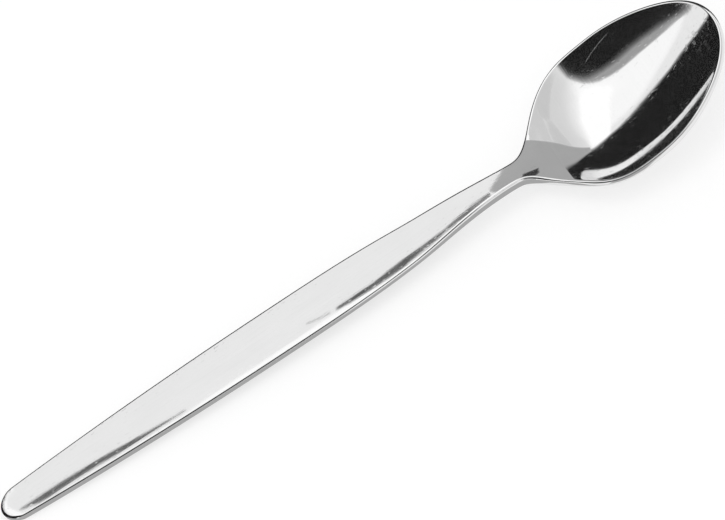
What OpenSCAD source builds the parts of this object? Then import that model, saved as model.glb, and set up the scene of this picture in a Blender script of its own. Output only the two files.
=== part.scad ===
// Teaspoon pressed from one sheet of stainless steel, as it lies on a flat surface.
// X runs along the spoon to the tip of its bowl, Y runs across it and Z runs up.
// The spoon is drawn with its handle level, and is then tilted until the end of the
// handle and the bottom of the bowl both touch the surface.

/* [Overall] */
// Length from the end of the handle to the tip of the bowl
overall_length = 140; // [125:1:200]

/* [Handle] */
// Greatest width of the handle
handle_width = 10; // [7:0.1:16]
// Distance from the end of the handle to its widest place
handle_widest_at = 52; // [20:1:70]
// Width of the handle behind its round end
handle_end_width = 6.7; // [4:0.1:14]
// Thickness of the handle along its edges
handle_thickness = 1.2; // [0.8:0.05:2.4]
// Extra thickness along the middle of the handle's front face
handle_crown = 0.2; // [0:0.05:0.6]

/* [Neck] */
// Length of the neck, from the flat part of the handle to the bowl
neck_length = 22; // [12:1:28]
// Width of the neck where it is narrowest, at the root of the bowl
neck_width = 4.4; // [2.5:0.1:7]
// Thickness of the neck at the root of the bowl
neck_thickness = 1.8; // [1:0.1:2.6]
// Height of the neck's arch above the line of the handle
neck_rise = 0.5; // [0:0.1:4]

/* [Bowl] */
// Length of the bowl from its root to its tip
bowl_length = 40.5; // [34:0.5:55]
// Width of the bowl over its rim
bowl_width = 29.4; // [22:0.2:38]
// Distance from the tip back to the widest place of the bowl
bowl_widest_from_tip = 19; // [12:0.5:24]
// Depth of the bowl below its rim, at its widest place
bowl_depth = 4.5; // [3:0.1:9]
// Thickness of the bowl's wall
bowl_thickness = 1; // [0.6:0.05:1.8]
// How far the rim dips behind the root of the bowl
shoulder_dip = 0.7; // [0:0.1:2]
// Height of the rim at the tip above the line of the handle
tip_rise = 5.8; // [0:0.1:10]

/* [Hidden] */

// Share of half the thickness that the rounding of the edges takes
edge_round_share = 0.72;
// How late the handle narrows, and how early the bowl widens
taper_share = 1.8;
flare_share = 1.75;
// How much the bowl's front flanks are drawn in towards a point, as a share of its width
flank_share = 0.04;
// How late the rim climbs towards the tip
climb_share = 2.1;
// Where the arch of the neck is highest, as a share of the neck's length
arch_top_share = 0.6;
// Where the rim dips most, and how far the dip reaches, as shares of the bowl's length
dip_place_share = 0.1;
dip_reach_share = 0.12;
// Shares of the bowl's length over which it hollows out and over which its wall thins
hollow_share = 0.24;
thin_share = 0.3;
// Step for measuring slopes, as a share of the overall length
slope_step_share = 0.0001;

// Rows and columns of facets, and facets in a quarter of the rounded edge
bowl_columns = 20;
bowl_rear_rows = 20;
bowl_tip_rows = 12;
stem_columns = 8;
neck_rows = 12;
handle_rows = 22;
handle_end_rows = 4;
edge_facets = 3;

slope_step = overall_length * slope_step_share;
end_radius = handle_end_width / 2;
neck_x = overall_length - bowl_length;
arch_x = neck_x - neck_length;
arch_top_x = arch_x + neck_length * arch_top_share;
bowl_x = overall_length - bowl_widest_from_tip;
dip_x = neck_x + bowl_length * dip_place_share;

// Slope of the bowl's wall at the rim, from a circular arc across the bowl
wall_angle = 2 * atan(2 * bowl_depth / bowl_width);
bowl_edge = edge_radius(bowl_x);
bowl_reach = bowl_edge + (bowl_thickness / 2 - bowl_edge) * sin(wall_angle);
// Half widths of the flat faces, inside the rounded edges
bowl_half = bowl_width / 2 - bowl_reach;
neck_half = neck_width / 2 - edge_radius(neck_x);
handle_half = handle_width / 2 - edge_radius(handle_widest_at);
end_half = handle_end_width / 2 - edge_radius(0);
// Height above the rim of the centre of the arcs across the bowl
arc_height = (pow(bowl_half, 2) - pow(bowl_depth, 2)) / (2 * bowl_depth);

// A smooth step from 0 to 1 while u runs from 0 to 1
function ease(u) = pow(sin(90 * min(1, max(0, u))), 2);

function unit(p) = p / norm(p);

// Thickness of the sheet and radius of its rounded edges at x
function thickness(x) = x < neck_x
    ? handle_thickness + (neck_thickness - handle_thickness) * ease((x - arch_x) / neck_length)
    : neck_thickness - (neck_thickness - bowl_thickness) * ease((x - neck_x) / (bowl_length * thin_share));

function edge_radius(x) = thickness(x) / 2 * edge_round_share;

// Half the width of the faces at x, before the two ends are rounded
function side(x) = x < handle_widest_at
    ? let (u = (x - end_radius) / (handle_widest_at - end_radius))
        end_half + (handle_half - end_half) * (1 - pow(1 - u, 2))
    : x < neck_x
    ? let (u = (x - handle_widest_at) / (neck_x - handle_widest_at))
        handle_half - (handle_half - neck_half) * ease(pow(u, taper_share))
    : let (u = min(1, (x - neck_x) / (bowl_x - neck_x)))
        neck_half + (bowl_half - neck_half) * ease(1 - pow(1 - u, flare_share));

// Reach of the two round ends of the faces, and places along them from 0 to 1
end_reach = end_radius - edge_radius(0);
tip_reach = bowl_widest_from_tip - bowl_edge;
function end_place(x) = max(0, (end_radius - x) / end_reach);
function tip_place(x) = max(0, (x - bowl_x) / tip_reach);

// Drawing in of the bowl's front flanks
function flank(v) = 1 - 4 * flank_share * pow(v, 2) * (1 - pow(v, 2));

// Square of the half width of the faces at x; it is below zero beyond the two ends
function half_squared(x) = pow(side(x) * flank(tip_place(x)), 2)
    * (1 - pow(end_place(x), 2)) * (1 - pow(tip_place(x), 2));

// Height of the middle of the sheet along its edge, above the line of the handle
function edge_height(x) = neck_rise * ease((x - arch_x) / (arch_top_x - arch_x))
    * (1 - ease((x - arch_top_x) / (dip_x - arch_top_x)))
    - shoulder_dip * ease(1 - abs(x - dip_x) / (bowl_length * dip_reach_share))
    + tip_rise * pow(max(0, x - neck_x) / bowl_length, climb_share);

// Height of the middle of the sheet at x and y
function sheet_height(x, y) = edge_height(x)
    - ease((x - neck_x) / (bowl_length * hollow_share))
    * (sqrt(pow(arc_height, 2) + half_squared(x) - pow(y, 2)) - arc_height);

// Slopes of the sheet along X and Y; where a cut is made the slope along X is left out
function slopes(x, y, cut) = [
    cut ? 0 : (sheet_height(x + slope_step, y) - sheet_height(x - slope_step, y)) / (2 * slope_step),
    (sheet_height(x, y + slope_step) - sheet_height(x, y - slope_step)) / (2 * slope_step)
];

function upward(s) = unit([-s[0], -s[1], 1]);

// Direction away from the spoon along the sheet, square to its edge
function outward(x, y, cut) =
    let (
        s = slopes(x, y, cut),
        narrowing = cut ? 0 : (half_squared(x - slope_step) - half_squared(x + slope_step)) / (2 * slope_step),
        out = unit([narrowing, 2 * y]),
        along = unit([-out[1], out[0], s[1] * out[0] - s[0] * out[1]])
    )
    cross(along, upward(s));

// Point of the front face (side 1) or the back face (side -1)
function face_point(x, y, side, cut) =
    let (
        crown = side > 0 ? handle_crown * (half_squared(x) - pow(y, 2)) / pow(handle_half, 2) : 0,
        fade = 1 - ease((x - arch_x) / neck_length),
        reach = thickness(x) / 2 + crown * fade
    )
    [x, y, sheet_height(x, y)] + side * reach * upward(slopes(x, y, cut));

// Points down the rounded edge, from the front face to the back face
function edge_points(x, y, cut) =
    let (
        out = outward(x, y, cut),
        up = upward(slopes(x, y, cut)),
        radius = edge_radius(x),
        middle = [x, y, sheet_height(x, y)],
        centre = (thickness(x) / 2 - radius) * up
    )
    [for (side = [1, -1], k = [1 : edge_facets])
        let (turn = side > 0 ? 90 - 90 * k / edge_facets : 90 * (k - 1) / edge_facets)
        middle + side * centre + radius * (cos(turn) * out + side * sin(turn) * up)];

// Plan of the faces: rows run along the spoon, and columns run across it
function column(j, columns) = 2 * j / columns - 1;

function straight_row(x, columns) = [for (j = [0 : columns])
    [x, sqrt(half_squared(x)) * column(j, columns)]];

// A row of a round end: the half disc is filled with rows that bend towards its edge
function round_row(u, columns, centre, reach) = [for (j = [0 : columns])
    let (
        v = column(j, columns),
        place = u * sqrt(1 - pow(v, 2) / 2),
        x = centre + reach * place,
        tip = reach > 0 ? flank(place) : 1
    )
    [x, side(x) * tip * v * sqrt(1 - pow(u, 2) / 2)]];

bowl_plan = concat(
    [for (i = [0 : bowl_rear_rows])
        straight_row(neck_x + (bowl_x - neck_x) * i / bowl_rear_rows, bowl_columns)],
    [for (i = [1 : bowl_tip_rows]) round_row(i / bowl_tip_rows, bowl_columns, bowl_x, tip_reach)]
);

neck_plan = [for (i = [0 : neck_rows])
    straight_row(arch_x + neck_length * i / neck_rows, stem_columns)];

handle_plan = concat(
    [for (i = [0 : handle_end_rows - 1])
        round_row(1 - i / handle_end_rows, stem_columns, end_radius, -end_reach)],
    [for (i = [0 : handle_rows])
        straight_row(end_radius + (arch_x - end_radius) * i / handle_rows, stem_columns)]
);

// The free edges of each plan, anticlockwise from above, as lists of [row, column]
function right_edge(rows) = [for (i = [0 : rows]) [i, 0]];
function left_edge(rows, columns) = [for (i = [rows : -1 : 0]) [i, columns]];
function last_row(plan) = len(plan) - 1;
function last_column(plan) = len(plan[0]) - 1;

bowl_edges = [concat(
    right_edge(last_row(bowl_plan)),
    [for (j = [1 : bowl_columns - 1]) [last_row(bowl_plan), j]],
    left_edge(last_row(bowl_plan), bowl_columns)
)];
neck_edges = [right_edge(neck_rows), left_edge(neck_rows, stem_columns)];
handle_edges = [concat(
    left_edge(last_row(handle_plan), stem_columns),
    [for (j = [stem_columns - 1 : -1 : 1]) [0, j]],
    right_edge(last_row(handle_plan))
)];

// Points of one piece of the sheet: front face, back face and rounded edges
function sheet_points(plan, edges, cuts) =
    let (cut = [for (i = [0 : last_row(plan)]) len([for (c = cuts) if (c == i) c]) > 0])
    concat(
        [for (side = [1, -1], i = [0 : last_row(plan)], p = plan[i]) face_point(p[0], p[1], side, cut[i])],
        [for (run = edges, e = run, p = edge_points(plan[e[0]][e[1]][0], plan[e[0]][e[1]][1], cut[e[0]])) p]
    );

// Faces of one piece of the sheet, as triangles, and its flat cut ends
function sheet_faces(plan, edges, cuts) =
    let (
        rows = last_row(plan),
        columns = last_column(plan),
        per_face = (rows + 1) * (columns + 1),
        per_edge = 2 * edge_facets,
        starts = [0, len(edges[0])],
        ring = [for (run = edges, e = run) e]
    )
    concat(
        [for (i = [0 : rows - 1], j = [0 : columns - 1])
            let (a = i * (columns + 1) + j, b = a + columns + 1)
            each [[a, a + 1, b + 1], [a, b + 1, b]]],
        [for (i = [0 : rows - 1], j = [0 : columns - 1])
            let (a = per_face + i * (columns + 1) + j, b = a + columns + 1)
            each [[a, b + 1, a + 1], [a, b, b + 1]]],
        [for (r = [0 : len(edges) - 1], k = [0 : len(edges[r]) - 2])
            let (
                p = edge_line(starts[r] + k, ring, columns, per_face, per_edge),
                q = edge_line(starts[r] + k + 1, ring, columns, per_face, per_edge)
            )
            for (m = [0 : per_edge]) each [[p[m], q[m], q[m + 1]], [p[m], q[m + 1], p[m + 1]]]],
        [for (c = cuts) each cut_faces(c, ring, columns, per_face, per_edge)]
    );

// Numbers of the points from the front face to the back face at one place of the edge
function edge_line(k, ring, columns, per_face, per_edge) =
    let (corner = ring[k][0] * (columns + 1) + ring[k][1])
    concat([corner], [for (m = [0 : per_edge - 1]) 2 * per_face + k * per_edge + m], [per_face + corner]);

function place_in(ring, e) = [for (k = [0 : len(ring) - 1]) if (ring[k] == e) k][0];

function reversed(list) = [for (k = [len(list) - 1 : -1 : 0]) list[k]];

// Triangles of the flat cut end at a row, from the front face down to the back face
function cut_faces(row, ring, columns, per_face, per_edge) =
    let (
        low = edge_line(place_in(ring, [row, 0]), ring, columns, per_face, per_edge),
        high = edge_line(place_in(ring, [row, columns]), ring, columns, per_face, per_edge),
        first = row * (columns + 1),
        triangles = concat(
            [for (a = [first : first + columns - 1])
                each [[a, a + 1, a + 1 + per_face], [a, a + 1 + per_face, a + per_face]]],
            [for (m = [1 : per_edge]) each [[high[0], high[m], high[m + 1]], [low[0], low[m + 1], low[m]]]]
        )
    )
    row == 0 ? [for (t = triangles) reversed(t)] : triangles;

bowl_cuts = [0];
neck_cuts = [0, neck_rows];
handle_cuts = [last_row(handle_plan)];
bowl_level = sheet_points(bowl_plan, bowl_edges, bowl_cuts);
neck_level = sheet_points(neck_plan, neck_edges, neck_cuts);
handle_level = sheet_points(handle_plan, handle_edges, handle_cuts);

// Tilt at rest, from the back of the handle's end to the lowest part of the bowl's back
end_foot = face_point(edge_radius(0), 0, -1, true);
rest_slope = min([for (row = bowl_plan)
    let (p = face_point(row[bowl_columns / 2][0], 0, -1, false)) (p[2] - end_foot[2]) / (p[0] - end_foot[0])]);
rest_tilt = atan(-rest_slope);

function tilted(points) = [for (p = points) [
    p[0] * cos(rest_tilt) - p[2] * sin(rest_tilt),
    p[1],
    p[0] * sin(rest_tilt) + p[2] * cos(rest_tilt)
]];

bowl_tilted = tilted(bowl_level);
neck_tilted = tilted(neck_level);
handle_tilted = tilted(handle_level);

// The origin is on the surface, below the middle of the spoon's length
front_x = max([for (p = bowl_tilted) p[0]]);
back_x = min([for (p = handle_tilted) p[0]]);
floor_z = min([for (p = concat(bowl_tilted, handle_tilted)) p[2]]);
origin = [(front_x + back_x) / 2, 0, floor_z];

module sheet(points, plan, edges, cuts) {
    polyhedron([for (p = points) p - origin], sheet_faces(plan, edges, cuts), convexity = 4);
}

module bowl() {
    color("silver") sheet(bowl_tilted, bowl_plan, bowl_edges, bowl_cuts);
}

module neck() {
    color("darkgray") sheet(neck_tilted, neck_plan, neck_edges, neck_cuts);
}

module handle() {
    color("gainsboro") sheet(handle_tilted, handle_plan, handle_edges, handle_cuts);
}

bowl();
neck();
handle();
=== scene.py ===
import math

import bmesh
import bpy
from mathutils import Matrix, Vector


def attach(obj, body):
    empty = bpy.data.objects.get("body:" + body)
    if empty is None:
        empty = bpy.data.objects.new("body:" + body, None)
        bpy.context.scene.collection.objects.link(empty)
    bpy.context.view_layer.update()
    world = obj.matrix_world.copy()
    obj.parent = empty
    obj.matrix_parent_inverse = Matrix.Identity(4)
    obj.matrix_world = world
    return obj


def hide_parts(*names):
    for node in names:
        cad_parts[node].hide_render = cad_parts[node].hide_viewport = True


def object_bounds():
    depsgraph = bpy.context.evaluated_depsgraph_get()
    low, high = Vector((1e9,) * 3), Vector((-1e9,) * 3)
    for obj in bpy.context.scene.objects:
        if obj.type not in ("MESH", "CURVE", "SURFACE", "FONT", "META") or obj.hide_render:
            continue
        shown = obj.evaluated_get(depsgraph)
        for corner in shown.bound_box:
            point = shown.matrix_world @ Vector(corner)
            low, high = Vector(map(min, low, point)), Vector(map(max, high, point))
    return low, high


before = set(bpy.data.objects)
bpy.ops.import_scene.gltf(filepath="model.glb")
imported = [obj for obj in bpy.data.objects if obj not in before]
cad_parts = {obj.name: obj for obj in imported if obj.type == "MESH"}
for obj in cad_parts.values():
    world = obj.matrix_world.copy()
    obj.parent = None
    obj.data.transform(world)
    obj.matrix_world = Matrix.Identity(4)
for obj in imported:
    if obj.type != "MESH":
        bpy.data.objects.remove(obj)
cad_low, cad_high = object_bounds()

mm = 0.001

# Sizes of the spoon, with its handle level and x measured from the end of the handle
overall_length = 140 * mm
handle_width = 10 * mm
handle_widest_at = 52 * mm
handle_end_width = 6.7 * mm
handle_thickness = 1.2 * mm
handle_crown = 0.2 * mm
neck_length = 22 * mm
neck_width = 4.4 * mm
neck_thickness = 1.8 * mm
neck_rise = 0.5 * mm
bowl_length = 40.5 * mm
bowl_width = 29.4 * mm
bowl_widest_from_tip = 19 * mm
bowl_depth = 4.5 * mm
bowl_thickness = 1 * mm
shoulder_dip = 0.7 * mm
tip_rise = 5.8 * mm

# Shares that shape the spoon between those sizes
edge_round_share = 0.72
taper_share = 1.8
flare_share = 1.75
flank_share = 0.04
climb_share = 2.1
arch_top_share = 0.6
dip_place_share = 0.1
dip_reach_share = 0.12
hollow_share = 0.24
thin_share = 0.3
slope_step = 0.01 * mm

# Light: how bright the world is on the floor, the lamp's tone, the floor's colour, and how far
# the floor is lifted to white
world_light = 0.85
lamp_tone = 1.35
floor_colour = 0.45
floor_lift = 0.6

# Steel: its plain tone, and how deep its finest marks are
steel_tone = 0.758
mark_depth = 0.005 * mm

# Tones of the darkest cards round the spoon, and the heights at which level cards hang, in mm
black = 0.012
dark = 0.03
flag_height = 500
sky_height = 900
streak_height = 20
ground_height = 0.3

# Rows and columns of the blank that the spoon is pressed from
end_rows = 6
handle_rows = 20
neck_rows = 12
bowl_rows = 18
tip_rows = 10
columns = 20
edge_segments = 3

end_radius = handle_end_width / 2
neck_x = overall_length - bowl_length
arch_x = neck_x - neck_length
arch_top_x = arch_x + neck_length * arch_top_share
bowl_x = overall_length - bowl_widest_from_tip
dip_x = neck_x + bowl_length * dip_place_share


def ease(u):
    """A smooth step from 0 to 1 while u runs from 0 to 1."""
    return math.sin(math.pi / 2 * min(1, max(0, u))) ** 2


def thickness(x):
    """Thickness of the steel along its edges at x."""
    if x < neck_x:
        return handle_thickness + (neck_thickness - handle_thickness) * ease((x - arch_x) / neck_length)
    thinned = ease((x - neck_x) / (bowl_length * thin_share))
    return neck_thickness - (neck_thickness - bowl_thickness) * thinned


def edge_radius(x):
    """Radius of the rounded edges at x."""
    return thickness(x) / 2 * edge_round_share


wall_angle = 2 * math.atan(2 * bowl_depth / bowl_width)
bowl_edge = edge_radius(bowl_x)
bowl_half = bowl_width / 2 - bowl_edge - (bowl_thickness / 2 - bowl_edge) * math.sin(wall_angle)
neck_half = neck_width / 2 - edge_radius(neck_x)
handle_half = handle_width / 2 - edge_radius(handle_widest_at)
end_half = handle_end_width / 2 - edge_radius(0)
end_reach = end_radius - edge_radius(0)
tip_reach = bowl_widest_from_tip - bowl_edge
arc_height = (bowl_half ** 2 - bowl_depth ** 2) / (2 * bowl_depth)


def side(x):
    """Half the width of the flat faces at x, before the two ends are rounded."""
    if x < handle_widest_at:
        u = (x - end_radius) / (handle_widest_at - end_radius)
        return end_half + (handle_half - end_half) * (1 - (1 - u) ** 2)
    if x < neck_x:
        u = (x - handle_widest_at) / (neck_x - handle_widest_at)
        return handle_half - (handle_half - neck_half) * ease(u ** taper_share)
    u = min(1, (x - neck_x) / (bowl_x - neck_x))
    return neck_half + (bowl_half - neck_half) * ease(1 - (1 - u) ** flare_share)


def flank(v):
    """Drawing in of the bowl's front flanks, from the widest place (0) to the tip (1)."""
    return 1 - 4 * flank_share * v ** 2 * (1 - v ** 2)


def half_squared(x):
    """Square of the half width of the faces at x; it is below zero beyond the two ends."""
    end_place = max(0, (end_radius - x) / end_reach)
    tip_place = max(0, (x - bowl_x) / tip_reach)
    return (side(x) * flank(tip_place)) ** 2 * (1 - end_place ** 2) * (1 - tip_place ** 2)


def edge_height(x):
    """Height of the middle of the sheet along its edge, above the line of the handle."""
    arch = neck_rise * ease((x - arch_x) / (arch_top_x - arch_x))
    fall = 1 - ease((x - arch_top_x) / (dip_x - arch_top_x))
    dip = shoulder_dip * ease(1 - abs(x - dip_x) / (bowl_length * dip_reach_share))
    return arch * fall - dip + tip_rise * (max(0, x - neck_x) / bowl_length) ** climb_share


def hollow(x):
    """How far the bowl has hollowed out at x, from 0 at its root to 1."""
    return ease((x - neck_x) / (bowl_length * hollow_share))


def crown(x, y):
    """Extra thickness of the handle's front face at x and y."""
    fade = 1 - ease((x - arch_x) / neck_length)
    return max(0, handle_crown * (half_squared(x) - y ** 2) / handle_half ** 2 * fade)


def sheet_height(x, y):
    """Height of the middle of the sheet at x and y."""
    arc = math.sqrt(arc_height ** 2 + half_squared(x) - y ** 2) - arc_height
    return edge_height(x) - hollow(x) * arc


def outward(x, y):
    """Direction away from the spoon along the sheet, square to its edge."""
    along = (sheet_height(x + slope_step, y) - sheet_height(x - slope_step, y)) / (2 * slope_step)
    across = (sheet_height(x, y + slope_step) - sheet_height(x, y - slope_step)) / (2 * slope_step)
    narrowing = (half_squared(x - slope_step) - half_squared(x + slope_step)) / (2 * slope_step)
    out = Vector((narrowing, 2 * y)).normalized()
    edge = Vector((-out.y, out.x, across * out.x - along * out.y))
    return edge.cross(Vector((-along, -across, 1))).normalized()


def straight_row(x):
    """Places of one straight row of the flat faces."""
    return [(x, side(x) * (2 * j / columns - 1)) for j in range(columns + 1)]


def round_row(u, centre, reach):
    """Places of one row of a round end; the rows bend towards its edge."""
    places = []
    for j in range(columns + 1):
        v = 2 * j / columns - 1
        place = u * math.sqrt(1 - v ** 2 / 2)
        waist = flank(place) if reach > 0 else 1
        x = centre + reach * place
        places.append((x, side(x) * waist * v * math.sqrt(1 - u ** 2 / 2)))
    return places


def sheet_plan():
    """Places of all rows, from the end of the handle to the tip of the bowl."""
    rows = [round_row(1 - i / end_rows, end_radius, -end_reach) for i in range(end_rows)]
    stations = (
        (end_radius, arch_x, handle_rows),
        (arch_x, neck_x, neck_rows),
        (neck_x, bowl_x, bowl_rows),
    )
    for start, stop, count in stations:
        rows += [straight_row(start + (stop - start) * i / count) for i in range(count)]
    rows.append(straight_row(bowl_x))
    return rows + [round_row((i + 1) / tip_rows, bowl_x, tip_reach) for i in range(tip_rows)]


def deselect_all():
    bpy.ops.object.select_all(action="DESELECT")


def apply_modifiers(piece):
    """Apply the modifiers of the piece, from first to last."""
    bpy.context.view_layer.objects.active = piece
    for name in [modifier.name for modifier in piece.modifiers]:
        bpy.ops.object.modifier_apply(modifier=name)


def pick(vertices, picked):
    """Select these vertices only, in place of those that were picked before."""
    for vertex in picked:
        vertex.select_set(False)
    for vertex in vertices:
        vertex.select_set(True)
    return vertices


def press_blank(plan):
    """A flat grid whose rows are drawn to their width and pressed to their height."""
    deselect_all()
    bpy.ops.mesh.primitive_grid_add(x_subdivisions=len(plan) - 1, y_subdivisions=columns, size=1)
    blank = bpy.context.object
    blank.name = "teaspoon"
    bpy.ops.object.mode_set(mode="EDIT")
    bpy.ops.mesh.select_mode(type="VERT")
    bpy.ops.mesh.select_all(action="SELECT")
    bpy.ops.transform.resize(value=(overall_length, bowl_width, 1), center_override=(0, 0, 0))
    bpy.ops.mesh.select_all(action="DESELECT")
    sheet = bmesh.from_edit_mesh(blank.data)
    in_order = sorted(sheet.verts, key=lambda vertex: (round(vertex.co.x / mm, 3), vertex.co.y))
    picked = []
    for i, places in enumerate(plan):
        row = in_order[i * (columns + 1):(i + 1) * (columns + 1)]
        for j in range(columns // 2 + 1):
            pair = {row[j], row[columns - j]}
            x, y = places[columns - j]
            picked = pick(pair, picked)
            if y > 0:
                drawn = y / row[columns - j].co.y
                bpy.ops.transform.resize(value=(1, drawn, 1), center_override=(0, 0, 0))
            height = sheet_height(x, y) + crown(x, y) / 2
            bpy.ops.transform.translate(value=(x - row[j].co.x, 0, height))
    bpy.ops.object.mode_set(mode="OBJECT")
    return blank


def add_rim(blank):
    """Extrude the border of the pressed sheet outwards by the radius of its rounded edges."""
    bpy.ops.object.mode_set(mode="EDIT")
    bpy.ops.mesh.select_all(action="SELECT")
    bpy.ops.mesh.region_to_loop()
    bpy.ops.mesh.extrude_edges_move()
    sheet = bmesh.from_edit_mesh(blank.data)
    rim = [vertex for vertex in sheet.verts if vertex.select]
    bpy.ops.mesh.select_mode(type="VERT")
    bpy.ops.mesh.select_all(action="DESELECT")
    picked = []
    for vertex in rim:
        x, y = vertex.co.x, vertex.co.y
        picked = pick([vertex], picked)
        bpy.ops.transform.translate(value=outward(x, y) * edge_radius(x))
    bpy.ops.object.mode_set(mode="OBJECT")


def thicken(blank):
    """Give the pressed sheet its thickness, with rounded edges, and smooth it."""
    greatest = neck_thickness
    gauge = blank.vertex_groups.new(name="gauge")
    for vertex in blank.data.vertices:
        x, y = vertex.co.x, vertex.co.y
        gauge.add([vertex.index], (thickness(x) + crown(x, y)) / greatest, "REPLACE")
    wall = blank.modifiers.new("wall", "SOLIDIFY")
    wall.thickness = greatest
    wall.offset = 0
    wall.use_even_offset = True
    wall.use_quality_normals = True
    wall.vertex_group = gauge.name
    apply_modifiers(blank)
    round_edges(blank)
    smooth = blank.modifiers.new("smooth", "SUBSURF")
    smooth.levels = 2
    smooth.render_levels = 2
    apply_modifiers(blank)
    blank.vertex_groups.clear()


def round_edges(blank):
    """Bevel the two long edges of the rim, each by the radius that the steel has there."""
    sharp = math.radians(60)
    greatest = edge_radius(neck_x)
    weight = blank.data.attributes.new("bevel_weight_edge", "FLOAT", "EDGE")
    edges = bmesh.new()
    edges.from_mesh(blank.data)
    for edge in edges.edges:
        if edge.is_manifold and edge.calc_face_angle() > sharp:
            x = (edge.verts[0].co.x + edge.verts[1].co.x) / 2
            weight.data[edge.index].value = edge_radius(x) / greatest
    edges.free()
    bevel = blank.modifiers.new("edge", "BEVEL")
    bevel.limit_method = "WEIGHT"
    bevel.offset_type = "OFFSET"
    bevel.width = greatest
    bevel.segments = edge_segments
    bevel.use_clamp_overlap = True
    apply_modifiers(blank)
    blank.data.attributes.remove(blank.data.attributes["bevel_weight_edge"])


def lay_down(spoon):
    """Tilt the spoon until the end of its handle and its bowl both touch the floor, and centre it."""
    end = [v.co for v in spoon.data.vertices if v.co.x < end_radius]
    foot = min(end, key=lambda co: (round(co.z / mm, 2), co.x))
    back = [v.co for v in spoon.data.vertices if v.co.x > neck_x]
    slope = min((co.z - foot.z) / (co.x - foot.x) for co in back)
    spoon.data.transform(Matrix.Rotation(math.atan(slope), 4, "Y"))
    xs = [v.co.x for v in spoon.data.vertices]
    lowest = min(v.co.z for v in spoon.data.vertices)
    middle = (cad_low.x + cad_high.x) / 2
    shift = Vector((middle - (min(xs) + max(xs)) / 2, 0, cad_low.z - lowest))
    spoon.data.transform(Matrix.Translation(shift))


def make_teaspoon():
    """The whole spoon: pressed, thickened, edged, smoothed and laid on the floor."""
    spoon = press_blank(sheet_plan())
    add_rim(spoon)
    thicken(spoon)
    lay_down(spoon)
    deselect_all()
    spoon.select_set(True)
    bpy.ops.object.shade_smooth()
    return spoon


def new_math(tree, operation, first, second):
    """A maths node of two inputs, each a socket or a number, and its result."""
    node = tree.nodes.new("ShaderNodeMath")
    node.operation = operation
    for socket, value in zip(node.inputs, (first, second)):
        if isinstance(value, (int, float)):
            socket.default_value = value
        else:
            tree.links.new(value, socket)
    return node.outputs[0]


def new_ramp(tree, value, low, high, start, end):
    """A value from low to high, limited and eased, that runs from start to end."""
    node = tree.nodes.new("ShaderNodeMapRange")
    node.interpolation_type = "SMOOTHSTEP"
    node.inputs["From Min"].default_value = low
    node.inputs["From Max"].default_value = high
    node.inputs["To Min"].default_value = start
    node.inputs["To Max"].default_value = end
    tree.links.new(value, node.inputs["Value"])
    return node.outputs["Result"]


def new_noise(tree, place, stretch, detail):
    """Noise in object space, with its own stretch along x, y and z."""
    shaped = tree.nodes.new("ShaderNodeMapping")
    shaped.inputs["Scale"].default_value = stretch
    tree.links.new(place, shaped.inputs["Vector"])
    noise = tree.nodes.new("ShaderNodeTexNoise")
    noise.inputs["Scale"].default_value = 1
    noise.inputs["Detail"].default_value = detail
    tree.links.new(shaped.outputs["Vector"], noise.inputs["Vector"])
    return noise.outputs["Fac"]


def add_shares(tree, base, parts):
    """The base plus a share of each value; the parts are pairs of a value and its share."""
    for value, share in parts:
        base = new_math(tree, "ADD", base, new_math(tree, "MULTIPLY", value, share))
    return base


def near_arc(tree, x, y, centre, radius, width):
    """1 on a thin ring round a centre, in mm, and 0 away from it; with no radius, a round patch."""
    across = new_math(tree, "SUBTRACT", x, centre[0] * mm)
    along = new_math(tree, "SUBTRACT", y, centre[1] * mm)
    squares = new_math(tree, "MULTIPLY", across, across)
    squares = new_math(tree, "ADD", squares, new_math(tree, "MULTIPLY", along, along))
    distance = new_math(tree, "SUBTRACT", new_math(tree, "SQRT", squares, 0), radius * mm)
    return new_ramp(tree, new_math(tree, "ABSOLUTE", distance, 0), 0, width * mm, 1, 0)


def bowl_scratch(tree, x, y):
    """1 on the one longer curved scratch in the far wall of the bowl."""
    arc = near_arc(tree, x, y, (54.75, -2.35), 15.05, 0.12)
    for limit in (
        new_ramp(tree, x, 48.6 * mm, 49.6 * mm, 0, 1),
        new_ramp(tree, x, 54 * mm, 55.2 * mm, 1, 0),
        new_ramp(tree, y, 9 * mm, 10 * mm, 0, 1),
    ):
        arc = new_math(tree, "MULTIPLY", arc, limit)
    return arc


def polishing_lines(tree, place, x):
    """Fine lines that run along the handle and across the bowl."""
    bowl_part = new_ramp(tree, x, 22 * mm, 36 * mm, 0, 1)
    handle_part = new_math(tree, "SUBTRACT", 1, bowl_part)
    along = new_noise(tree, place, (60, 6000, 3000), 3)
    across = new_noise(tree, place, (5000, 160, 160), 3)
    return add_shares(tree, new_math(tree, "MULTIPLY", along, handle_part), [(across, bowl_part)])


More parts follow.
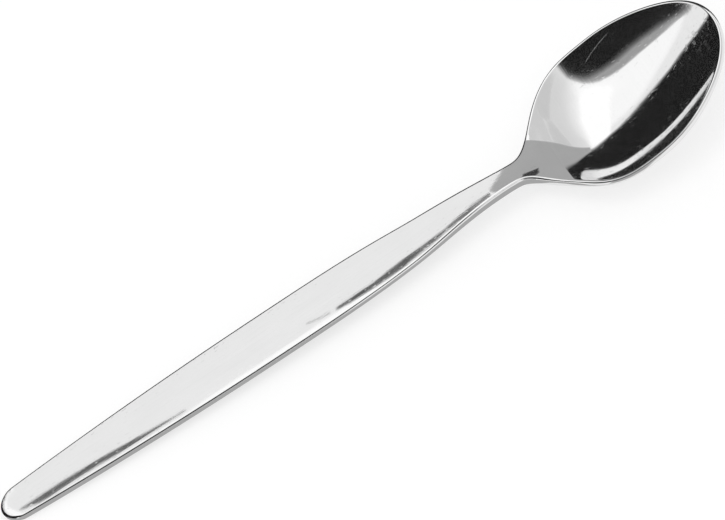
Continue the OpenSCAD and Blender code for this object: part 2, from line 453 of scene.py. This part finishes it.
def polished_steel():
    """Stainless steel, polished bright, with polishing lines, fine scratches and worn edges."""
    steel = bpy.data.materials.new("polished_steel")
    steel.use_nodes = True
    tree = steel.node_tree
    shader = tree.nodes["Principled BSDF"]
    place = tree.nodes.new("ShaderNodeTexCoord").outputs["Object"]
    apart = tree.nodes.new("ShaderNodeSeparateXYZ")
    tree.links.new(place, apart.inputs[0])
    x = apart.outputs["X"]
    y = apart.outputs["Y"]
    lines = polishing_lines(tree, place, x)
    arc = bowl_scratch(tree, x, y)
    # short fine scratches lie along the spoon
    scratches = new_noise(tree, place, (900, 2600, 900), 2)
    scratches = new_ramp(tree, scratches, 0.66, 0.72, 0, 1)
    # small stains gather near the tip
    spots = new_noise(tree, place, (900, 900, 900), 4)
    spots = new_ramp(tree, spots, 0.56, 0.62, 0, 1)
    spots = new_math(tree, "MULTIPLY", spots, near_arc(tree, x, y, (65.4, -1), 0, 6))
    # cloudy patches where fingers and cloths left the polish a little uneven
    clouds = new_noise(tree, place, (160, 300, 300), 4)
    # a faint haze of finer marks, which shows where the steel mirrors something dark
    grain = new_noise(tree, place, (2600, 2600, 2600), 4)
    grain = new_ramp(tree, grain, 0.42, 0.75, 0, 1)
    # edges are worn brighter and a little duller in polish
    edge = tree.nodes.new("ShaderNodeNewGeometry").outputs["Pointiness"]
    worn = new_ramp(tree, edge, 0.53, 0.6, 0, 1)

    tone = add_shares(tree, steel_tone, [(lines, 0.05), (clouds, 0.03), (worn, 0.05), (spots, -0.06)])
    colour = tree.nodes.new("ShaderNodeCombineColor")
    for socket in colour.inputs:
        tree.links.new(tone, socket)
    tree.links.new(colour.outputs["Color"], shader.inputs["Base Color"])

    rough = new_ramp(tree, clouds, 0.3, 0.7, 0.04, 0.09)
    rough = add_shares(tree, rough, [(worn, 0.06), (scratches, 0.05), (spots, 0.1), (arc, 0.2)])
    tree.links.new(rough, shader.inputs["Roughness"])

    haze = new_math(tree, "MULTIPLY", grain, 0.016)
    haze = add_shares(tree, haze, [(lines, 0.012), (scratches, 0.02), (spots, 0.02), (arc, 0.06)])
    tree.links.new(new_math(tree, "SUBTRACT", 1, haze), shader.inputs["Metallic"])

    relief = new_math(tree, "MULTIPLY", lines, 0.5)
    relief = add_shares(tree, relief, [(scratches, -0.5), (spots, 0.7)])
    bump = tree.nodes.new("ShaderNodeBump")
    bump.inputs["Strength"].default_value = 1
    bump.inputs["Distance"].default_value = mark_depth
    tree.links.new(relief, bump.inputs["Height"])
    tree.links.new(bump.outputs["Normal"], shader.inputs["Normal"])
    return steel


def set_camera():
    """A camera above the front of the spoon, turned until the spoon climbs to the right."""
    elevation = math.radians(50)
    azimuth = math.radians(-0.518)
    roll = math.radians(32.729)
    distance = 0.7
    picture_width = 725
    picture_scale = 6.2085 / mm
    target = Vector((0, 0, 5 * mm))
    aim_right = 4.41 / picture_scale
    aim_up = 8.05 / picture_scale
    level_right = Vector((math.cos(azimuth), -math.sin(azimuth), 0))
    ahead = Vector((math.sin(azimuth), math.cos(azimuth), 0))
    level_up = ahead * math.sin(elevation) + Vector((0, 0, math.cos(elevation)))
    back = Vector((0, 0, math.sin(elevation))) - ahead * math.cos(elevation)
    right = level_right * math.cos(roll) - level_up * math.sin(roll)
    up = level_right * math.sin(roll) + level_up * math.cos(roll)
    place = target + right * aim_right + up * aim_up + back * distance
    camera_data = bpy.data.cameras.new("camera")
    camera_data.lens = picture_scale * distance / picture_width * camera_data.sensor_width
    camera_data.clip_start = 0.01
    camera_data.clip_end = 20
    camera = bpy.data.objects.new("camera", camera_data)
    turn = Matrix((right, up, back)).transposed().to_4x4()
    camera.matrix_world = Matrix.Translation(place) @ turn
    bpy.context.scene.collection.objects.link(camera)
    bpy.context.scene.camera = camera


def white_to_reflections(nodes, links):
    """A value that is 1 for what the camera sees and for what shows in metal, and 0 otherwise."""
    path = nodes.new("ShaderNodeLightPath")
    mirrored = nodes.new("ShaderNodeMath")
    mirrored.operation = "MAXIMUM"
    seen = nodes.new("ShaderNodeMath")
    seen.operation = "MAXIMUM"
    links.new(path.outputs["Is Glossy Ray"], mirrored.inputs[0])
    links.new(path.outputs["Is Transmission Ray"], mirrored.inputs[1])
    links.new(path.outputs["Is Camera Ray"], seen.inputs[0])
    links.new(mirrored.outputs[0], seen.inputs[1])
    return seen.outputs[0]


def set_world():
    """A plain world that is white to the camera and in reflections."""
    world = bpy.data.worlds.new("studio")
    world.use_nodes = True
    nodes = world.node_tree.nodes
    links = world.node_tree.links
    background = nodes["Background"]
    background.inputs["Color"].default_value = (1, 1, 1, 1)
    strength = nodes.new("ShaderNodeMapRange")
    strength.inputs["To Min"].default_value = world_light
    strength.inputs["To Max"].default_value = 1
    links.new(white_to_reflections(nodes, links), strength.inputs["Value"])
    links.new(strength.outputs["Result"], background.inputs["Strength"])
    bpy.context.scene.world = world


def make_floor():
    """A floor that looks white to the camera and in metal, and keeps the spoon's soft shadow."""
    deselect_all()
    bpy.ops.mesh.primitive_plane_add(size=6, location=(0, 0, cad_low.z))
    floor = bpy.context.object
    floor.name = "floor"
    white = bpy.data.materials.new("floor_white")
    white.use_nodes = True
    nodes = white.node_tree.nodes
    links = white.node_tree.links
    shader = nodes["Principled BSDF"]
    shader.inputs["Base Color"].default_value = (floor_colour, floor_colour, floor_colour, 1)
    shader.inputs["Roughness"].default_value = 0.9
    shader.inputs["Specular IOR Level"].default_value = 0
    shader.inputs["Emission Color"].default_value = (1, 1, 1, 1)
    lift = nodes.new("ShaderNodeMath")
    lift.operation = "MULTIPLY"
    lift.inputs[1].default_value = floor_lift
    links.new(white_to_reflections(nodes, links), lift.inputs[0])
    links.new(lift.outputs[0], shader.inputs["Emission Strength"])
    floor.data.materials.append(white)


def card_paper(tone):
    """Card of one grey tone that thins out evenly, to the eye, over its margin."""
    paper = bpy.data.materials.new("card")
    paper.use_nodes = True
    nodes = paper.node_tree.nodes
    links = paper.node_tree.links
    nodes.clear()
    output = nodes.new("ShaderNodeOutputMaterial")
    mix = nodes.new("ShaderNodeMixShader")
    glow = nodes.new("ShaderNodeEmission")
    glow.inputs["Color"].default_value = (tone, tone, tone, 1)
    cover = nodes.new("ShaderNodeAttribute")
    cover.attribute_name = "clear"
    veil = nodes.new("ShaderNodeMath")
    veil.operation = "POWER"
    veil.inputs[1].default_value = 2.2
    links.new(cover.outputs["Fac"], veil.inputs[0])
    links.new(veil.outputs[0], mix.inputs[0])
    links.new(glow.outputs[0], mix.inputs[1])
    links.new(nodes.new("ShaderNodeBsdfTransparent").outputs[0], mix.inputs[2])
    links.new(mix.outputs[0], output.inputs["Surface"])
    return paper


def hang_card(name, tone, outside, inside):
    """A card that only reflections show, with its corners in mm: it is solid within the outline
    inside, and thins out from there to the outline outside."""
    card = bpy.data.objects.new(name, bpy.data.meshes.new(name))
    bpy.context.scene.collection.objects.link(card)
    sheet = bmesh.new()
    outer = [sheet.verts.new(Vector(corner) * mm) for corner in outside]
    inner = [sheet.verts.new(Vector(corner) * mm) for corner in inside]
    sheet.faces.new(inner)
    for a in range(len(outer)):
        b = (a + 1) % len(outer)
        sheet.faces.new((outer[a], outer[b], inner[b], inner[a]))
    sheet.to_mesh(card.data)
    sheet.free()
    clear = card.data.attributes.new("clear", "FLOAT", "POINT")
    for a in range(len(outer)):
        clear.data[a].value = 1
    card.data.materials.append(card_paper(tone))
    card.visible_camera = False
    card.visible_diffuse = False
    card.visible_shadow = False
    card.visible_transmission = False
    card.visible_volume_scatter = False


def level(height, places):
    """Corners of a card that hangs level at this height."""
    return [(x, y, height) for x, y in places]


def upright(depth, places):
    """Corners of a card that stands across the view, this far behind the spoon's middle."""
    return [(x, depth, z) for x, z in places]


def on_end(reach, places):
    """Corners of a card that stands square to the spoon's length, this far from its middle."""
    return [(reach, y, z) for y, z in places]


def slanted(foot, across, places):
    """Corners of a card that stands on its foot and faces neither along nor across the spoon."""
    return [foot + across * a + Vector((0, 0, z)) for a, z in places]


def margin(places, width):
    """The same outline, moved inwards by a width; its corners run anticlockwise."""
    moved = []
    count = len(places)
    for index in range(count):
        a = Vector(places[index - 1])
        b = Vector(places[index])
        c = Vector(places[(index + 1) % count])
        first = (b - a).normalized()
        second = (c - b).normalized()
        inward = Vector((-first.y - second.y, first.x + second.x))
        inward = inward * 2 / max(inward.length_squared, 1)
        moved.append(b + inward * width)
    return [tuple(place) for place in moved]


def hang_level(name, tone, height, outside, fade):
    """A level card whose border thins out over a margin of this width."""
    hang_card(name, tone, level(height, outside), level(height, margin(outside, fade)))


def hang_flags():
    """Large dark and grey flags far behind and above the spoon, which its bowl mirrors."""
    outside = [(700, -60), (540, 330), (420, 400), (330, 450), (170, 545), (30, 600), (-60, 610)]
    outside += [(-125, 650), (-225, 686), (-335, 668), (-440, 632), (-515, 580), (-600, 545)]
    outside += [(-640, 460), (-680, 350), (-700, -60)]
    inside = [(640, 0), (470, 300), (380, 350), (300, 385), (145, 480), (15, 540), (-64, 545)]
    inside += [(-125, 575), (-225, 610), (-335, 585), (-415, 545), (-475, 500), (-540, 470)]
    inside += [(-580, 400), (-620, 320), (-640, 0)]
    hang_card("far_flag", black, upright(600, outside), upright(600, inside))
    outside = [(-1300, 560), (-1300, -500), (95, -500), (85, -190), (70, -130), (30, -78), (-4, -32)]
    outside += [(-38, 4), (-62, 36), (-97, 56), (-153, 74), (-226, 92), (-297, 112), (-374, 144)]
    outside += [(-460, 188), (-590, 262), (-720, 350), (-900, 490)]
    hang_level("grey_flag", 0.4, flag_height + 4, outside, 16)
    outside = [(-1300, 510), (-1300, -500), (84, -500), (74, -190), (58, -134), (18, -84), (-16, -38)]
    outside += [(-50, -13), (-74, 0), (-123, 14), (-198, 27), (-278, 42), (-351, 68), (-420, 105)]
    outside += [(-490, 151), (-573, 211), (-696, 306), (-860, 436)]
    inside = [(-1200, 380), (-1200, -480), (40, -480), (34, -220), (14, -165), (-20, -118)]
    inside += [(-52, -80), (-84, -62), (-108, -54), (-150, -46), (-215, -40), (-295, -24), (-370, 4)]
    inside += [(-440, 40), (-515, 86), (-600, 150), (-730, 240), (-900, 360)]
    hang_card("near_flag", black, level(flag_height, outside), level(flag_height, inside))


def hang_sky():
    """Large pale cards far above and before the spoon, brightest where its bowl looks white."""
    outside = [(1500, 800), (330, 800), (190, 400), (150, 200), (60, 40), (20, -60), (80, -300)]
    outside += [(120, -900), (1500, -900)]
    inside = [(1450, 700), (700, 700), (520, 420), (470, 200), (400, 60), (300, -30), (230, -300)]
    inside += [(220, -850), (1450, -850)]
    height = flag_height + 12
    hang_card("right_card", 0.8, level(height, outside), level(height, inside))
    outside = [(1500, -900), (1500, 700), (520, 700), (492, 256), (508, 160), (396, 9), (284, -102)]
    outside += [(163, -183), (100, -300), (120, -900)]
    hang_level("corner_card", 0.7, flag_height + 8, outside, 20)
    outside = [(300, 900), (-100, 800), (-600, 720), (-1500, 700), (-1500, 100), (-580, -40)]
    outside += [(72, -240), (330, -120), (540, 260), (560, 700)]
    hang_level("sky_card", 1.17, sky_height + 5, outside, 150)
    outside = [(72, 1290), (-20, 870), (-84, 675), (-120, 525), (-145, 405), (-176, 285)]
    outside += [(-205, 215), (-130, 20), (-20, -45), (125, 50), (345, 365), (460, 715), (530, 1290)]
    inside = [(90, 1200), (10, 870), (-54, 675), (-90, 525), (-115, 405), (-140, 300), (-150, 230)]
    inside += [(-100, 90), (-40, 60), (40, 140), (180, 390), (290, 715), (400, 1200)]
    hang_card("bright_card", 1.26, level(sky_height, outside), level(sky_height, inside))
    outside = [(-500, 1), (-10, 1), (-10, 420), (-500, 420)]
    hang_card("front_card", 0.45, upright(-400, outside), upright(-400, margin(outside, 10)))


def hang_handle_cards():
    """A pale board close above the handle, with the strips that make its streaks below it."""
    outside = [(-73.2, 3), (27, 3), (29, 12), (29, 28), (-68, 28), (-71, 25.5), (-73.6, 22.6)]
    outside += [(-75, 20), (-75.6, 17.5), (-75.2, 15), (-74.4, 12.5)]
    hang_level("handle_board", 1, streak_height + 1, outside, 0.3)
    outside = [(-38, 7.9), (-40, 8), (-43, 8.6), (-47.5, 9.4), (-52, 10.4), (-57, 11.2), (-62, 11.7)]
    outside += [(-67, 12), (-71.6, 11.9), (-70, 11), (-67.4, 9.6), (-65, 9.1), (-60, 9.2)]
    outside += [(-55, 8.7), (-50, 7.9), (-45, 7.6), (-38, 7.3)]
    hang_level("streak_card_left", 0.13, streak_height, outside, 0.25)
    outside = [(25, 10.7), (19, 10.1), (15, 9.9), (10.6, 9.8), (8, 9.5), (3.5, 8.8), (0, 8.1)]
    outside += [(-7.5, 8.1), (-8, 7), (-5, 6.4), (0, 6.1), (2.8, 6.1), (5.8, 6.4), (8, 7.4)]
    outside += [(12.2, 8.8), (16, 9.2), (20, 9.5), (25, 10.2)]
    hang_level("streak_card_right", 0.12, streak_height, outside, 0.25)
    outside = [(25, 11.5), (20, 11.1), (15, 10.4), (13, 10), (13, 9.1), (15, 9.2), (20, 10.1)]
    outside += [(25, 10.7)]
    hang_level("streak_card_end", 0.22, streak_height - 0.1, outside, 0.15)
    outside = [(-8.8, 8), (-11, 8.4), (-13.5, 9.4), (-13.2, 8.8), (-11, 7.9), (-9, 7.5)]
    hang_level("streak_card_middle", 0.4, streak_height, outside, 0.15)
    outside = [(27, 1), (27, 6.4), (-40, 7), (-58, 8.2), (-70.5, 9.6), (-71.8, 12), (-73, 14.5)]
    outside += [(-73.8, 17), (-73.4, 19), (-72.5, 20.5), (-70.5, 21.8), (-70.5, 23), (-72.8, 22.4)]
    outside += [(-74.4, 20.2), (-75.1, 17.5), (-75, 15.3), (-74.4, 13), (-73.6, 10.8), (-73.2, 0)]
    hang_level("bright_strip", 1.22, streak_height + 0.4, outside, 0.2)
    outside = [(-60, 60), (-110, 60), (-110, -20), (-73.3, -20), (-73.3, 0), (-73.5, 10.8)]
    outside += [(-74.4, 13), (-74.9, 15.3), (-75, 17.5), (-74.5, 20.2), (-73.4, 22.6)]
    outside += [(-71.4, 24.6), (-68, 26.5), (-60, 30)]
    hang_level("end_roof", black, streak_height + 0.7, outside, 0.3)


def hang_bowl_cards():
    """Cards close to the bowl and neck: for the left flank, the smudge and the grey bowl root."""
    outside = [(36, 7.8), (45.3, 8.1), (45.3, 9.4), (36, 9.3)]
    hang_level("flank_card", 0.73, 12, outside, 0.3)
    outside = [(30.2, -0.7), (32.5, -0.6), (34.3, 0.8), (34.7, 1.9), (33.2, 1.6), (31.6, 1.2)]
    hang_level("smudge_card", 0.05, 7, outside, 0.3)
    foot = Vector((38.4, 1.5, 0))
    across = Vector((0.77, -0.64, 0))
    outside = [(-18, 24), (-17, 20.2), (-13, 14.7), (-6.5, 4.5), (-3, 3.6), (0, 2.5), (4.8, 1.2)]
    outside += [(5, 2), (1, 6), (4, 10), (10, 24)]
    inside = margin(outside, 0.3)
    hang_card("root_card", 0.45, slanted(foot, across, outside), slanted(foot, across, inside))


def lay_ground_cards():
    """Dark and grey cards round the spoon, which give its edges their dark outline; the grey card
    before the handle is a painted floor shadow, which the handle's near side mirrors.
    """
    outside = [(44, 18), (120, 18), (600, 640), (-700, 640), (-90, 91), (28, 91)]
    hang_level("rim_ground", dark, ground_height, outside, 2)
    # painted shadow: a grey card on the floor before the handle, seen only in reflections, stands in
    # for the floor's shade beside the handle and shows as a grey band on its near side
    outside = [(-78, -30), (30, -30), (30, -1), (-78, -1)]
    hang_level("painted_floor_shadow_card", 0.46, ground_height + 0.1, outside, 0.1)
    outside = [(-90, 7), (28, 7), (28, 90), (-90, 90)]
    hang_level("back_card", dark, ground_height, outside, 1)
    outside = [(-90, -14), (-71, -14), (-70.4, 0), (-71, 12), (-90, 12)]
    hang_level("end_card", dark, ground_height - 0.1, outside, 0.1)
    outside = [(-8, 0), (40, 0), (40, 12), (-8, 12)]
    hang_card("end_flag", black, on_end(-76, outside), on_end(-76, margin(outside, 1)))


def hang_lamp():
    """A soft lamp high above the spoon and a little behind it."""
    lamp_data = bpy.data.lights.new("overhead_lamp", "AREA")
    lamp_data.shape = "RECTANGLE"
    lamp_data.size = 300 * mm
    lamp_data.size_y = 500 * mm
    lamp_data.energy = lamp_tone * math.pi * lamp_data.size * lamp_data.size_y
    lamp = bpy.data.objects.new("overhead_lamp", lamp_data)
    lamp.location = (25 * mm, 215 * mm, 930 * mm)
    bpy.context.scene.collection.objects.link(lamp)


teaspoon = make_teaspoon()
teaspoon.data.materials.append(polished_steel())
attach(teaspoon, "root")
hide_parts("bowl", "neck", "handle")

make_floor()
hang_flags()
hang_sky()
hang_handle_cards()
hang_bowl_cards()
lay_ground_cards()
hang_lamp()
set_world()
set_camera()
bpy.context.scene.view_settings.view_transform = "Standard"
